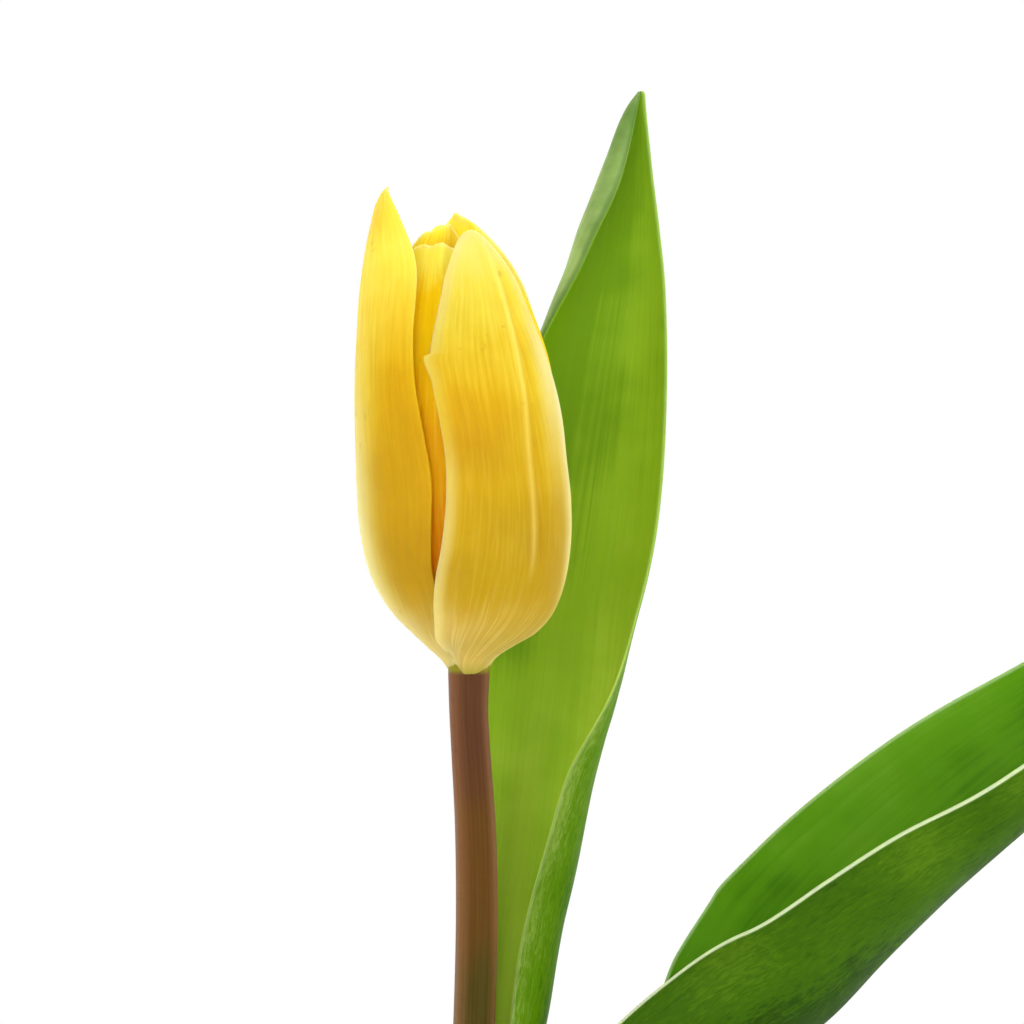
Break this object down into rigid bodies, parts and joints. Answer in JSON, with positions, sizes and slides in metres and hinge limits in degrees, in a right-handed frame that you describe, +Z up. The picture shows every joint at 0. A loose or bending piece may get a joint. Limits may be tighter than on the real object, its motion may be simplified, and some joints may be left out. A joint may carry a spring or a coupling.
{
  "type": "tulip in vase",
  "caption": "Closed yellow tulip bloom on a brown stem with clasping green leaves, standing in a clear glass bud vase of water, as a table decoration.",
  "frame": {"origin": "centre of the vase's flat base, on the surface that it stands on", "axes": "+Z up along the vase's axis; -Y is the front that the picture shows; +X is to the picture's right, where the long leaf leans"},
  "size_m": [0.1648, 0.073, 0.3481],
  "materials": {
    "glass": "clear, smooth, fire-polished rim",
    "water": "clear water, still surface",
    "stem": "satin purple-brown plant stem, greener towards the water",
    "leaf": "satin, parallel-veined green leaf with a pale edge",
    "petal_outer": "silky yellow petal, paler at rim and base",
    "petal_inner": "silky deep yellow petal",
    "pistil": "matt pale green",
    "stamens": "matt, dusty yellow"
  },
  "bodies": {
    "root": {"vase": "glass", "water": "water", "stem": "stem", "leaf_upright": "leaf", "leaf_right": "leaf", "petal_outer_left": "petal_outer", "petal_outer_front": "petal_outer", "petal_outer_back": "petal_outer", "petal_inner_front": "petal_inner", "petal_inner_right": "petal_inner", "petal_inner_back": "petal_inner", "pistil": "pistil", "stamens": "stamens"}
  },
  "joints": []
}
